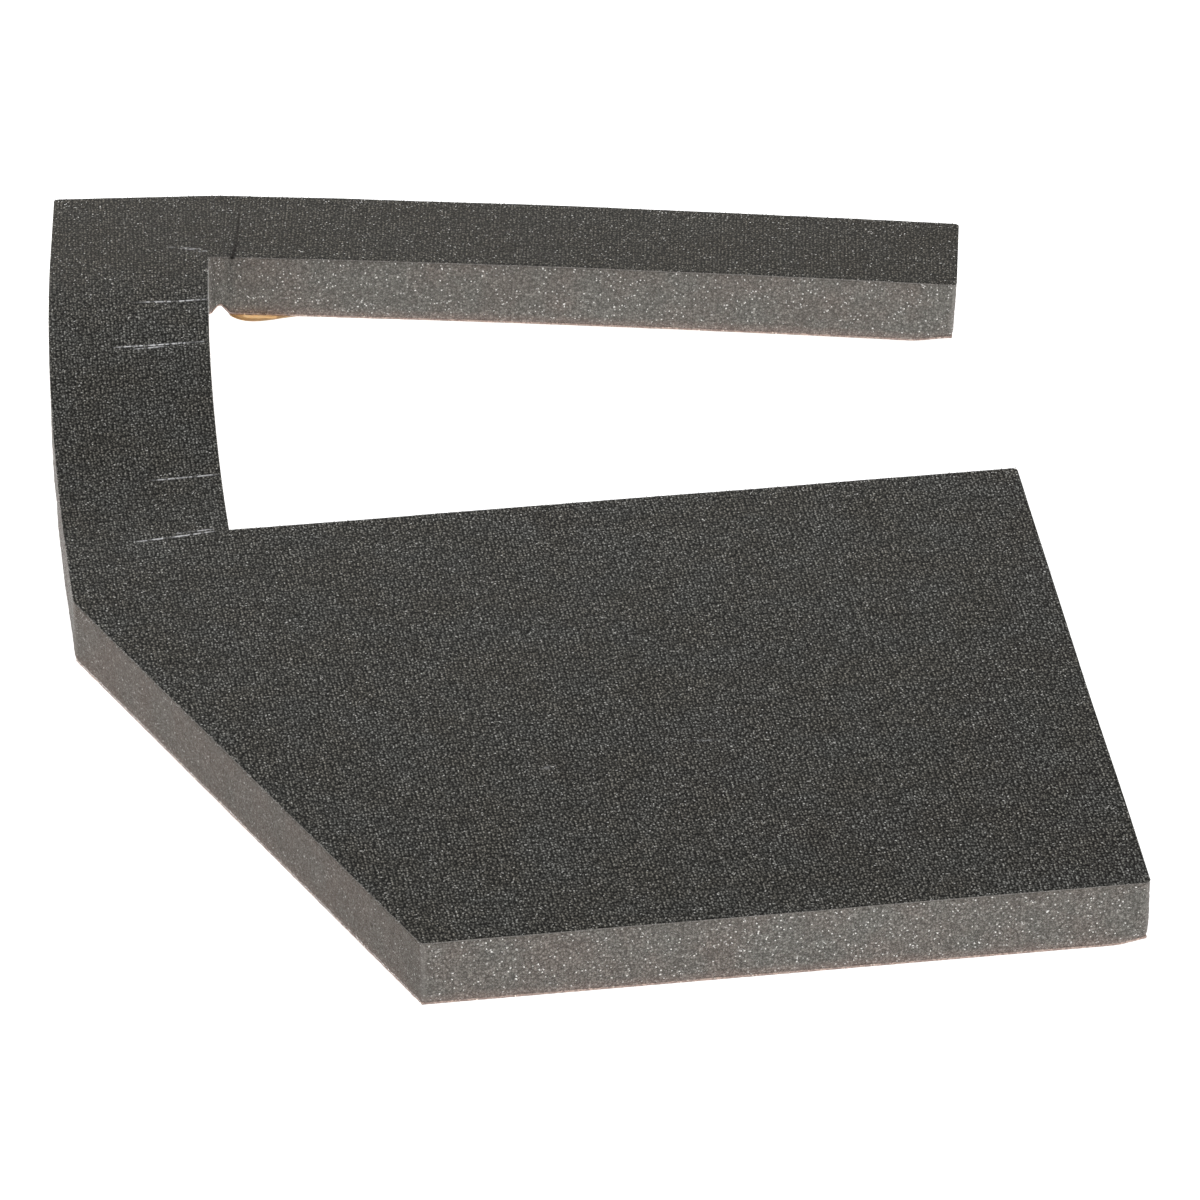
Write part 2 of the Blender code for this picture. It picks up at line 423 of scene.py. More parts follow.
def round_corners(shape, radius):
    """Round the outline's outer corners, where the blade turned."""
    corners = [v for v in shape.verts if corner_angle(v) < math.radians(165.0)]
    bmesh.ops.bevel(
        shape, geom=corners, offset=radius, offset_type="OFFSET", affect="VERTICES",
        segments=5, profile=0.5, material=-1,
    )


def inset_face(shape, faces, thickness):
    """A narrow ring of faces along the outline."""
    made = bmesh.ops.inset_region(
        shape, faces=faces, thickness=thickness, use_boundary=True, use_even_offset=True
    )
    return made["faces"]


def cut_all(shape, place, direction):
    """Cut every face along a plane."""
    geometry = shape.verts[:] + shape.edges[:] + shape.faces[:]
    bmesh.ops.bisect_plane(
        shape, geom=geometry, dist=TINY, plane_co=place, plane_no=direction
    )


def cut_grid(shape, spacing):
    """Cuts from side to side and from front to back, so that the layer can bend."""
    along = -PANEL_DEPTH + spacing
    while along < STRUT_AND_ARM - spacing / 2.0:
        cut_all(shape, (0.0, along, 0.0), (0.0, 1.0, 0.0))
        along += spacing
    across = CHAMFER_TOP[0] + spacing
    while across < ARM_LENGTH + lean(STRUT_AND_ARM) - spacing / 2.0:
        cut_all(shape, (across, 0.0, 0.0), (1.0, 0.0, 0.0))
        across += spacing
    cut_all(shape, (0.0, 0.0, 0.0), (0.0, 1.0, 0.0))
    cut_all(shape, (0.0, STRUT_LENGTH, 0.0), (0.0, 1.0, 0.0))


def raise_walls(shape, height):
    """Give a flat face its thickness, as a closed body."""
    bottom = list(shape.faces)
    made = bmesh.ops.extrude_face_region(shape, geom=bottom, use_keep_orig=True)
    risen = [v for v in made["geom"] if isinstance(v, bmesh.types.BMVert)]
    bmesh.ops.translate(shape, verts=risen, vec=(0.0, 0.0, height))
    bmesh.ops.recalc_face_normals(shape, faces=shape.faces)


def is_wall(face):
    """A face of the side walls, which stand upright before the pad is bent."""
    return abs(face.normal.z) < 0.5


def is_level(edge):
    """An edge that runs along the outline or across a flat face."""
    return abs(edge.verts[0].co.z - edge.verts[1].co.z) < TINY


def cut_walls(shape, rows, step):
    """Cut the side walls into small squares and leave the flat faces coarse."""
    uprights = [e for e in shape.edges if not is_level(e)]
    if rows > 1:
        bmesh.ops.subdivide_edges(
            shape, edges=uprights, cuts=rows - 1, use_grid_fill=True
        )
    shape.normal_update()
    groups = {}
    for edge in shape.edges:
        if is_level(edge) and any(is_wall(f) for f in edge.link_faces):
            parts = round(edge.calc_length() / step)
            groups.setdefault(parts, []).append(edge)
    for parts in sorted(groups):
        if parts > 1:
            bmesh.ops.subdivide_edges(
                shape, edges=groups[parts], cuts=parts - 1, use_grid_fill=True
            )
    shape.normal_update()


def outward(vert):
    """Direction straight out of the side walls at a vertex, or nothing on a flat face."""
    total = Vector((0.0, 0.0, 0.0))
    for face in vert.link_faces:
        if is_wall(face):
            total += face.normal
    total.z = 0.0
    return total.normalized() if total.length > 0.1 else None


def move_verts(moves):
    """Apply moves that were worked out on the unmoved shape."""
    for vert, move in moves.items():
        vert.co += move


def split_crowded_faces(shape):
    """Triangulate the faces that the cuts left with more than four corners."""
    crowded = [f for f in shape.faces if len(f.verts) > 4]
    bmesh.ops.triangulate(shape, faces=crowded)


def front_bulge(place, height):
    """The panel's right side swells a little towards its front, more at the top."""
    front = smooth_step(-place.y, 90.0 * MM, 165.0 * MM)
    right = smooth_step(place.x, 100.0 * MM, PANEL_LENGTH)
    return RIGHT_SIDE_BULGE * front * right * smooth_step(height, 0.0, 9.0 * MM)


def bend_shape(shape, flat_heights):
    """Bend a flat shape into place and keep its flat coordinates for the materials."""
    flat_place = shape.verts.layers.float_vector.new("flat_place")
    for vert in shape.verts:
        vert[flat_place] = vert.co
        height = vert.co.z + flat_heights
        across = vert.co.x + front_bulge(vert.co, height)
        vert.co = bent_point(across, vert.co.y, height) - CENTRE


def make_piece(name, shape, material, body):
    """Object from a finished shape, riding on a body of the pad."""
    mesh = bpy.data.meshes.new(name)
    for face in shape.faces:
        face.smooth = True
    shape.to_mesh(mesh)
    shape.free()
    mesh.materials.append(material)
    piece = bpy.data.objects.new(name, mesh)
    bpy.context.scene.collection.objects.link(piece)
    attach(piece, body)
    return piece


def distance_to_line(place, points):
    """Distance from a place to a line of points, with the share of the line passed."""
    nearest = 1.0
    share_there = 0.0
    for index in range(len(points) - 1):
        start = Vector(points[index]) * MM
        span = Vector(points[index + 1]) * MM - start
        share = (place - start).dot(span) / span.length_squared
        share = min(max(share, 0.0), 1.0)
        distance = (start + span * share - place).length
        if distance < nearest:
            nearest = distance
            share_there = (index + share) / (len(points) - 1)
    return nearest, share_there


# Materials ----------------------------------------------------------------------------


def new_material(name):
    """A material with its shader, ready for colour and relief."""
    material = bpy.data.materials.new(name)
    material.use_nodes = True
    return material, material.node_tree, material.node_tree.nodes["Principled BSDF"]


def add_node(tree, kind, settings=None, inputs=None):
    """Add a node, set its options, and fill or link its inputs."""
    node = tree.nodes.new(kind)
    for name, value in (settings or {}).items():
        setattr(node, name, value)
    for name, value in (inputs or {}).items():
        if isinstance(value, bpy.types.NodeSocket):
            tree.links.new(value, node.inputs[name])
        else:
            node.inputs[name].default_value = value
    return node


def flat_coordinates(tree, scale):
    """Coordinates on the flat cut piece, scaled up."""
    place = add_node(tree, "ShaderNodeAttribute", {"attribute_name": "flat_place"})
    mapping = add_node(
        tree, "ShaderNodeMapping", {"vector_type": "POINT"},
        {"Vector": place.outputs["Vector"], "Scale": scale},
    )
    return mapping.outputs["Vector"]


def ramp(tree, value, low, high, from_low=0.0, from_high=1.0):
    """Map a value from one range to another, without going past its ends."""
    node = add_node(
        tree, "ShaderNodeMapRange", {"clamp": True},
        {"Value": value, "From Min": from_low, "From Max": from_high,
         "To Min": low, "To Max": high},
    )
    return node.outputs["Result"]


def maths(tree, operation, first, second):
    """One sum on two values."""
    node = add_node(tree, "ShaderNodeMath", {"operation": operation}, {0: first, 1: second})
    return node.outputs[0]


def mix_values(tree, share, first, second):
    """A value between two others."""
    node = add_node(tree, "ShaderNodeMix", {"data_type": "FLOAT"}, {0: share, 2: first, 3: second})
    return node.outputs[0]


def mix_colours(tree, share, first, second):
    """A colour between two others."""
    node = add_node(
        tree, "ShaderNodeMix", {"data_type": "RGBA", "blend_type": "MIX"},
        {0: share, 6: first, 7: second},
    )
    return node.outputs[2]


def relief(tree, shader, height, distance):
    """Surface relief from a height between 0 and 1."""
    bump = add_node(
        tree, "ShaderNodeBump", None, {"Height": height, "Distance": distance, "Strength": 1.0}
    )
    tree.links.new(bump.outputs["Normal"], shader.inputs["Normal"])


def surface_mark(tree, name):
    """A value that the piece's mesh carries, such as where it is worn."""
    return add_node(tree, "ShaderNodeAttribute", {"attribute_name": name}).outputs["Fac"]


def cell_pattern(tree, places, scale, randomness=1.0, dimensions="3D"):
    """Scattered cells: the distance from each cell's middle, and three random values a cell."""
    cells = add_node(
        tree, "ShaderNodeTexVoronoi", {"voronoi_dimensions": dimensions, "feature": "F1"},
        {"Vector": places, "Scale": scale, "Randomness": randomness},
    )
    chance = add_node(tree, "ShaderNodeSeparateColor", None, {0: cells.outputs["Color"]})
    return cells.outputs["Distance"], chance.outputs


def cloud_pattern(tree, places, scale, detail, roughness, dimensions="3D"):
    """Soft cloudy patches."""
    return add_node(
        tree, "ShaderNodeTexNoise", {"noise_dimensions": dimensions},
        {"Vector": places, "Scale": scale, "Detail": detail, "Roughness": roughness},
    )


def knit_light(tree, loop_shape, loop_chance, yarn_chance):
    """Light on the yarn: rounded loops, some glossier, and finer bright filaments."""
    loop_gloss = ramp(tree, maths(tree, "POWER", loop_chance[0], 1.8), 0.26, 1.0)
    loop_light = maths(tree, "MULTIPLY", loop_shape, loop_gloss)
    yarn_light = maths(tree, "POWER", yarn_chance[0], 4.0)
    return maths(
        tree, "ADD", maths(tree, "MULTIPLY", loop_light, 0.72),
        maths(tree, "MULTIPLY", yarn_light, 0.22),
    )


def rib_light(tree, stitches):
    """Light and dark from rib to rib, one wave a stitch, wandering a little."""
    wander = cloud_pattern(tree, stitches, 0.3, 1.0, 0.5, "2D")
    shift = add_node(
        tree, "ShaderNodeVectorMath", {"operation": "MULTIPLY_ADD"},
        {0: wander.outputs["Color"], 1: (0.3, 0.3, 0.0), 2: stitches},
    )
    ribs = add_node(
        tree, "ShaderNodeTexWave",
        {"wave_type": "BANDS", "bands_direction": "X", "wave_profile": "SIN"},
        {"Vector": shift.outputs[0], "Scale": math.pi / 10.0, "Distortion": 0.0},
    )
    return ramp(tree, ribs.outputs["Fac"], 0.62, 1.38)


def knit_colour(tree, stitches, light):
    """Ground to loop colour, in faint patches, flatter and browner towards the arm."""
    patches = cloud_pattern(tree, stitches, 0.06, 3.0, 0.6, "2D").outputs["Fac"]
    light = maths(tree, "MULTIPLY", light, ramp(tree, patches, 0.92, 1.08, 0.3, 0.7))
    place = add_node(tree, "ShaderNodeSeparateXYZ", None, {0: stitches})
    matted = ramp(tree, place.outputs["Y"], 0.0, 0.42, 105.0, 132.0)
    light = mix_values(tree, matted, light, 0.058)
    warmth = ramp(tree, patches, 0.0, 1.0, 0.35, 0.65)
    hue = mix_colours(tree, warmth, KNIT_OLIVE, KNIT_SLATE)
    hue = mix_colours(tree, matted, hue, KNIT_MATTED)
    return mix_colours(tree, light, KNIT_GROUND, hue)


def charcoal_knit():
    """Fine charcoal knit: small pale loops in ribs over a dark ground."""
    material, tree, shader = new_material("charcoal_knit_woven")
    stitches = flat_coordinates(tree, (1.0 / RIB_PITCH, 1.0 / COURSE_PITCH, 0.0))
    loop_places = flat_coordinates(tree, (1.0 / LOOP_WIDTH, 1.0 / LOOP_LENGTH, 0.0))
    loop_distance, loop_chance = cell_pattern(tree, loop_places, 1.0, 0.8, "2D")
    loop_shape = ramp(tree, loop_distance, 1.0, 0.0, 0.05, 0.46)
    yarn_chance = cell_pattern(tree, stitches, 4.3, 1.0, "2D")[1]
    light = knit_light(tree, loop_shape, loop_chance, yarn_chance)
    light = maths(tree, "MULTIPLY", light, rib_light(tree, stitches))
    colour = knit_colour(tree, stitches, light)
    spark_chance = cell_pattern(tree, stitches, 3.1, 1.0, "2D")[1]
    glint = ramp(tree, spark_chance[1], 0.0, 0.55, 0.984, 0.999)
    colour = mix_colours(tree, glint, colour, KNIT_GLINT)
    # The creases are painted pale in dashes: partly worn yarn, partly painted glint along their
    # ridges.
    dashes = ramp(tree, loop_chance[2], 0.12, 1.0, 0.25, 0.6)
    wear_and_glint_share = maths(tree, "MULTIPLY", surface_mark(tree, "wear_and_glint"), dashes)
    colour = mix_colours(tree, wear_and_glint_share, colour, KNIT_WORN_GLINT)
    edge_share = maths(tree, "POWER", surface_mark(tree, "cut_edge"), 3.0)
    edge_yarn = mix_colours(tree, yarn_chance[2], CUT_YARN_DARK, CUT_YARN_PALE)
    colour = mix_colours(tree, edge_share, colour, edge_yarn)
    # Painted shade darkens the knit along the furrow at the fold.
    colour = mix_colours(tree, surface_mark(tree, "furrow_shade"), colour, KNIT_FURROW_SHADE)
    tree.links.new(colour, shader.inputs["Base Color"])
    shader.inputs["Roughness"].default_value = 0.85
    shader.inputs["Specular IOR Level"].default_value = 0.02
    relief(tree, shader, loop_shape, 0.10 * MM)
    return material


def cell_light_on_foam(tree, place, spot):
    """Light on the foam's cells: fine cells, larger bright windows, and soft clusters."""
    fine_chance = cell_pattern(tree, place, 4.6)[1]
    fine_light = maths(tree, "POWER", fine_chance[0], 3.0)
    window_distance, window_chance = cell_pattern(tree, place, 1.6, 0.9)
    window_light = maths(
        tree, "MULTIPLY", ramp(tree, window_distance, 1.0, 0.0, 0.10, 0.72),
        ramp(tree, maths(tree, "POWER", window_chance[0], 1.6), 0.25, 1.3),
    )
    light = mix_values(tree, 0.6, fine_light, window_light)
    light = maths(tree, "ADD", light, ramp(tree, spot["Y"], 0.0, 0.05, 20.0, 125.0))
    # The left-facing sides get flatter cells, as part of their painted shade.
    light = mix_values(tree, surface_mark(tree, "left_side_shade"), light, 0.2)
    clusters = cloud_pattern(tree, place, 0.9, 2.0, 0.6).outputs["Fac"]
    return maths(tree, "MULTIPLY", light, ramp(tree, clusters, 0.86, 1.16, 0.3, 0.7))


def foam_grey(tree, place, light):
    """Dark to pale grey by the light on the cells, drifting between grey and brown."""
    drift = cloud_pattern(tree, place, 0.07, 3.0, 0.6).outputs["Fac"]
    warmth = ramp(tree, drift, 0.0, 1.0, 0.38, 0.62)
    dark = mix_colours(tree, warmth, FOAM_DARK_GREY, FOAM_DARK_BROWN)
    pale = mix_colours(tree, warmth, FOAM_PALE_GREY, FOAM_PALE_BROWN)
    return mix_colours(tree, light, dark, pale)


def foam_pore_shade(tree, place):
    """Painted shade in the few pores, where they lie."""
    distance, chance = cell_pattern(tree, place, 0.85)
    shade = ramp(tree, distance, 1.0, 0.0, 0.10, 0.26)
    return maths(tree, "MULTIPLY", shade, ramp(tree, chance[0], 0.0, 0.6, 0.70, 0.76))


def foam_glints(tree, place):
    """Painted glints on bright cell windows, fewer on the left-facing sides, which are painted in
    shade.
    """
    unshaded_side = maths(tree, "SUBTRACT", 1.0, surface_mark(tree, "left_side_shade"))
    chance = cell_pattern(tree, place, 3.3)[1]
    glint = ramp(tree, chance[1], 0.0, 1.0, 0.968, 0.992)
    return maths(tree, "MULTIPLY", maths(tree, "POWER", glint, 1.5), unshaded_side)


def open_cell_foam():
    """Warm grey open-cell foam: small cells of uneven tone, with painted shade in the pores and on
    the left-facing sides, and painted glints on bright windows.
    """
    material, tree, shader = new_material("open_cell_foam_cut")
    place = flat_coordinates(tree, (1.0 / MM, 1.0 / MM, 1.0 / MM))
    spot = add_node(tree, "ShaderNodeSeparateXYZ", None, {0: place}).outputs
    light = cell_light_on_foam(tree, place, spot)
    colour = foam_grey(tree, place, light)
    # Painted shade in the pores.
    pores = foam_pore_shade(tree, place)
    colour = mix_colours(tree, pores, colour, FOAM_PORE_SHADE)
    colour = mix_colours(tree, foam_glints(tree, place), colour, FOAM_GLINT)
    # Painted highlight along the rounded upright corners.
    corner_highlight_share = maths(tree, "MULTIPLY", surface_mark(tree, "corner_highlight"), 0.45)
    colour = mix_colours(tree, corner_highlight_share, colour, FOAM_CORNER_HIGHLIGHT)
    # Pinkish band over the lowest 2.4 mm of the sides: partly glue stain, partly painted glow of
    # floor light through the foam.
    stain_and_glow = ramp(tree, spot["Z"], 0.55, 0.0, 0.0, 2.4)
    stain_glow_colour = mix_colours(tree, light, FOAM_STAIN_GLOW_DARK, FOAM_STAIN_GLOW_PALE)
    colour = mix_colours(tree, stain_and_glow, colour, stain_glow_colour)
    # Painted shade darkens and browns the left-facing sides, such as the chamfer.
    left_side_shade_share = maths(tree, "MULTIPLY", surface_mark(tree, "left_side_shade"), 1.4)
    colour = mix_colours(tree, left_side_shade_share, colour, FOAM_LEFT_SIDE_SHADE)
    tree.links.new(colour, shader.inputs["Base Color"])
    shader.inputs["Roughness"].default_value = 0.95
    shader.inputs["Specular IOR Level"].default_value = 0.1
    shader.inputs["Sheen Weight"].default_value = 1.0
    shader.inputs["Sheen Roughness"].default_value = 0.12
    relief(tree, shader, maths(tree, "SUBTRACT", light, pores), 0.16 * MM)
    return material


def acrylic_glue():
    """Straw-coloured transfer glue, pinkish brown where its edge lies against the foam."""
    material, tree, shader = new_material("acrylic_adhesive_film")
    place = flat_coordinates(tree, (1.0 / MM, 1.0 / MM, 1.0 / MM))
    grain = cell_pattern(tree, place, 2.2)[1]
    flow = cloud_pattern(tree, place, 0.25, 4.0, 0.7).outputs["Fac"]
    colour = mix_colours(tree, maths(tree, "POWER", grain[0], 1.5), GLUE_DARK, GLUE_PALE)
    sparkle = ramp(tree, grain[1], 0.0, 1.0, 0.97, 0.985)
    colour = mix_colours(tree, sparkle, colour, GLUE_GLINT)
    tree.links.new(colour, shader.inputs["Base Color"])
    tree.links.new(ramp(tree, flow, 0.15, 0.5, 0.3, 0.7), shader.inputs["Roughness"])
    relief(tree, shader, flow, 0.5 * MM)
    return material


def siliconised_liner():
    """Amber siliconised film, slightly glossy, that lets some light through."""
    material, tree, shader = new_material("siliconised_liner_amber")
    place = flat_coordinates(tree, (1.0 / MM, 1.0 / MM, 1.0 / MM))
    mottle = cloud_pattern(tree, place, 0.35, 4.0, 0.6).outputs["Fac"]
    colour = mix_colours(
        tree, ramp(tree, mottle, 0.0, 1.0, 0.35, 0.65), LINER_AMBER, LINER_STRAW
    )
    tree.links.new(colour, shader.inputs["Base Color"])
    shader.inputs["Roughness"].default_value = 0.28
    shader.inputs["Transmission Weight"].default_value = 0.75
    relief(tree, shader, mottle, 0.2 * MM)
    return material


def charcoal_fuzz():
    """Fine cut yarn ends, paler than the knit because light passes through them."""
    material, tree, shader = new_material("charcoal_knit_fuzz")
    place = flat_coordinates(tree, (1.0 / MM, 1.0 / MM, 1.0 / MM))
    shade = cloud_pattern(tree, place, 1.4, 1.0, 0.5).outputs["Fac"]
    colour = mix_colours(tree, ramp(tree, shade, 0.0, 1.0, 0.35, 0.65), FUZZ_DARK, FUZZ_PALE)
    tree.links.new(colour, shader.inputs["Base Color"])
    shader.inputs["Roughness"].default_value = 0.6
    return material


def white_floor():
    """Plain white floor, bright enough to show no shadow."""
    material, _, shader = new_material("white_floor")
    shader.inputs["Base Color"].default_value = (0.35, 0.35, 0.35, 1.0)
    shader.inputs["Roughness"].default_value = 0.9
    shader.inputs["Specular IOR Level"].default_value = 0.0
    shader.inputs["Emission Color"].default_value = (1.0, 1.0, 1.0, 1.0)
    shader.inputs["Emission Strength"].default_value = 1.02
    return material


# Knit face ----------------------------------------------------------------------------


def cut_patch(shape, low, high, direction, spacing):
    """Close cuts inside a small patch, so that a narrow crease in it has a shape."""
    side = Vector(direction)
    start = Vector((*low, 0.0)).dot(side)
    end = Vector((*high, 0.0)).dot(side)
    for index in range(int((end - start) / spacing) + 1):
        near = []
        for face in shape.faces:
            middle = face.calc_center_median()
            if low[0] < middle.x < high[0] and low[1] < middle.y < high[1]:
                near.append(face)
        edges = list(dict.fromkeys(e for f in near for e in f.edges))
        verts = list(dict.fromkeys(v for f in near for v in f.verts))
        bmesh.ops.bisect_plane(
            shape, geom=verts + edges + near, dist=TINY,
            plane_co=side * (start + index * spacing), plane_no=side,
        )


def cut_for_creases(shape):
    """Close cuts under every crease, and under the furrow."""
    for _, crease in CREASES:
        low_x = min(x for x, y in crease) * MM - 2.0 * MM
        high_x = max(x for x, y in crease) * MM + 2.0 * MM
        low_y = min(y for x, y in crease) * MM - 1.8 * MM
        high_y = max(y for x, y in crease) * MM + 1.8 * MM
        cut_patch(shape, (low_x, low_y), (high_x, high_y), (0.0, 1.0, 0.0), FINE_CUTS)
    low = (10.0 * MM, STRUT_LENGTH - MM)
    high = (15.5 * MM, STRUT_AND_ARM + MM)
    cut_patch(shape, low, high, (1.0, 0.0, 0.0), FINE_CUTS)


def bell(distance, half_width):
    """A smooth bump of 1 at no distance, which falls off over its half width."""
    return math.exp(-((distance / half_width) ** 2))


def crease_relief(place):
    """Height that the creases add to the fabric, and how pale their yarn is painted: partly wear,
    partly painted glint on the ridges.
    """
    height = 0.0
    wear_and_glint = 0.0
    for strength, crease in CREASES:
        distance, share = distance_to_line(place, crease)
        if distance > CREASE_REACH:
            continue
        taper = math.sin(math.pi * min(max(share * 0.9 + 0.08, 0.0), 1.0)) ** 0.5
        ridge = bell(distance, CREASE_HALF_WIDTH)
        trough = bell(distance - TROUGH_OFFSET, TROUGH_HALF_WIDTH)
        height += (CREASE_HEIGHT * ridge - TROUGH_DEPTH * trough) * taper * strength
        wear_and_glint = max(wear_and_glint, ridge * taper * strength)
    return height, wear_and_glint


def furrow_relief(place):
    """Height that the furrow adds, below zero, and how much painted shade darkens the knit in it.
    """
    distance, share = distance_to_line(place, FURROW)
    deep = 1.0 - smooth_step(share, 0.06, 0.5)
    dent = bell(distance, FURROW_HALF_WIDTH + FURROW_WIDENING * deep)
    height = -(FURROW_DEPTH + FURROW_DEEPENING * deep) * dent
    # Painted shade in the furrow, strongest at its deep end.
    furrow_shade = dent * (0.75 + 0.25 * deep) * (1.0 - smooth_step(share, 0.7, 1.0))
    return height, furrow_shade


def knit_relief(place):
    """Height of the fabric's face over a flat one, how pale its yarn is painted on the creases for
    wear and glint, and how much painted shade lies in the furrow.
    """
    spot = Vector((place.x, place.y, 0.3))
    height = noise.noise(spot * LONG_WAVES_PER_METRE) * LONG_WAVE_HEIGHT
    spot.z = 7.3
    height += noise.noise(spot * SHORT_WAVES_PER_METRE) * SHORT_WAVE_HEIGHT
    crease_height, wear_and_glint = crease_relief(place)
    furrow_height, furrow_shade = furrow_relief(place)
    return height + crease_height + furrow_height, wear_and_glint, furrow_shade


def build_knit_face():
    """The bonded face fabric, with its creases and the furrow at the fold."""
    shape = flat_face(pad_outline())
    round_corners(shape, CORNER_RADIUS)
    middle = shape.faces[:]
    inset_face(shape, middle, RIM_RING)
    inset_face(shape, middle, RIM_RING)
    cut_grid(shape, KNIT_GRID)
    cut_for_creases(shape)
    split_crowded_faces(shape)
    wear_and_glint_layer = shape.verts.layers.float.new("wear_and_glint")
    furrow_shade_layer = shape.verts.layers.float.new("furrow_shade")
    cut_edge = shape.verts.layers.float.new("cut_edge")
    rim = {v for v in shape.verts if v.is_boundary}
    for vert in shape.verts:
        height, wear_and_glint, furrow_shade = knit_relief(vert.co.to_2d())
        vert[wear_and_glint_layer] = wear_and_glint
        vert[furrow_shade_layer] = furrow_shade
        vert.co.z = height
        if vert in rim:
            vert.co.z -= RIM_DROP
            vert[cut_edge] = 1.0
    bend_shape(shape, KNIT_TOP)
    knit = make_piece("knit_face", shape, charcoal_knit(), "pad")
    thickness = knit.modifiers.new("thickness", "SOLIDIFY")
    thickness.thickness = KNIT_THICKNESS
    thickness.offset = -1.0
    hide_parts("face_fabric")
    return knit


# Foam body ----------------------------------------------------------------------------


def cell_depth(place):
    """How far the cut foam lies back at a place: open cells, and a few larger pores."""
    nearest = noise.voronoi(place / CELL_SIZE)[0][0]
    depth = CELL_DEPTH * max(0.0, 1.0 - nearest / 0.6)
    pore = noise.voronoi(place / LARGE_CELL_SPACING + Vector((3.7, 1.9, 5.1)))[0][0]
    depth += LARGE_CELL_DEPTH * max(0.0, 1.0 - pore / 0.17)
    depth += FINE_UNEVENNESS * noise.noise(place / (0.8 * MM))
    depth += COARSE_UNEVENNESS * noise.noise(place / (9.0 * MM))
    return depth


def edge_lift(place):
    """Lift of the pad's lower edge: the notch at the fold and two corners that have let go."""
    rising = smooth_step(place.x, *NOTCH_LEFT_SLOPE)
    falling = 1.0 - smooth_step(place.x, *NOTCH_RIGHT_SLOPE)
    near = 1.0 - smooth_step(abs(place.y - STRUT_LENGTH), *NOTCH_REACH)
    lift = NOTCH_HEIGHT * rising * falling * near
    if place.y > STRUT_LENGTH / 2.0:
        arm_end = smooth_step(place.x, ARM_LENGTH - 7.0 * MM, ARM_LENGTH + 4.0 * MM)
        lift += CORNER_LIFT * arm_end
    front = 1.0 - smooth_step(place.y, -PANEL_DEPTH, -PANEL_DEPTH + 16.0 * MM)
    right_end = PANEL_LENGTH - lean(PANEL_DEPTH)
    right = smooth_step(place.x, right_end - 8.0 * MM, right_end + 1.0 * MM)
    return lift + CORNER_LIFT * front * right


def edge_pull(place):
    """How far the sides draw in: at both cut edges, and beside the fold."""
    top = FOAM_TOP - FOAM_BOTTOM
    pull = LOWER_EDGE_PULL * (1.0 - smooth_step(place.z, 0.0, 1.3 * MM))
    pull += UPPER_EDGE_PULL * smooth_step(place.z, top - MM, top)
    if abs(place.y - STRUT_LENGTH) < 1.5 * MM and place.x > lean(STRUT_LENGTH):
        pull += FOLD_PULL * bell(place.x - FOLD_PULL_PLACE, FOLD_PULL_HALF_WIDTH)
    return pull


def build_foam_body():
    """The foam block with its open-cell sides."""
    shape = flat_face(pad_outline())
    round_corners(shape, CORNER_RADIUS)
    cut_grid(shape, FOAM_CAP_GRID)
    raise_walls(shape, FOAM_TOP - FOAM_BOTTOM)
    cut_walls(shape, WALL_ROWS, WALL_STEP)
    corner_highlight_layer = shape.verts.layers.float.new("corner_highlight")
    left_side_shade = shape.verts.layers.float.new("left_side_shade")
    corners = [Vector(corner) for corner in pad_outline()]
    top = FOAM_TOP - FOAM_BOTTOM
    moves = {}
    for vert in shape.verts:
        direction = outward(vert)
        if direction is None:
            continue
        nearest = min((vert.co.to_2d() - corner).length for corner in corners)
        # Painted highlight on the upright corners, within 1.5 mm of them.
        vert[corner_highlight_layer] = 1.0 - smooth_step(nearest, 0.4 * MM, 1.5 * MM)
        # Painted shade on the sides that face left.
        vert[left_side_shade] = 0.25 * smooth_step(-direction.x, 0.5, 0.9)
        low = 1.0 - smooth_step(vert.co.z, 0.0, 9.0 * MM)
        lift = Vector((0.0, 0.0, edge_lift(vert.co) * low))
        held = 1.0 - 0.85 * smooth_step(vert.co.z, top - 1.8 * MM, top - 0.3 * MM)
        moves[vert] = lift - direction * (cell_depth(vert.co) * held + edge_pull(vert.co))
    move_verts(moves)
    split_crowded_faces(shape)
    bend_shape(shape, FOAM_BOTTOM)
    foam = make_piece("foam_body", shape, open_cell_foam(), "pad")
    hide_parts("foam_core")


# Glue and liner -----------------------------------------------------------------------


def build_thin_layer(outline, thickness, inset, grid):
    """A thin flat body that follows an outline."""
    shape = flat_face(outline)
    if inset > 0.0:
        ring = inset_face(shape, shape.faces[:], inset)
        bmesh.ops.delete(shape, geom=ring, context="FACES")
    cut_grid(shape, grid)
    raise_walls(shape, thickness)
    cut_walls(shape, 2, 1.2 * MM)
    return shape


def build_glue_film():
    """The transfer glue on the underside, with a slightly ragged edge."""
    shape = build_thin_layer(pad_outline(), GLUE_TOP - GLUE_BOTTOM, GLUE_INSET, LINER_GRID)
    moves = {}
    for vert in shape.verts:
        direction = outward(vert)
        moves[vert] = Vector((0.0, 0.0, edge_lift(vert.co)))
        if direction is not None:
            ragged = noise.noise(vert.co / (1.6 * MM)) * GLUE_RAGGEDNESS
            moves[vert] -= direction * (ragged + edge_pull(vert.co) * 0.5)
    move_verts(moves)
    split_crowded_faces(shape)
    bend_shape(shape, GLUE_BOTTOM)
    glue = make_piece("glue_film", shape, acrylic_glue(), "pad")
    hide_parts("adhesive_film")


def build_liner_sheet():
    """The release liner, which stands out of the fold as a shallow wave."""
    shape = build_thin_layer(liner_outline(), LINER_TOP, 0.0, LINER_GRID)
    for vert in shape.verts:
        vert.co.z += edge_lift(vert.co)
    split_crowded_faces(shape)
    bend_shape(shape, 0.0)
    liner = make_piece("liner_sheet", shape, siliconised_liner(), "liner")
    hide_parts("release_liner")
    return liner


# Loose fibres -------------------------------------------------------------------------


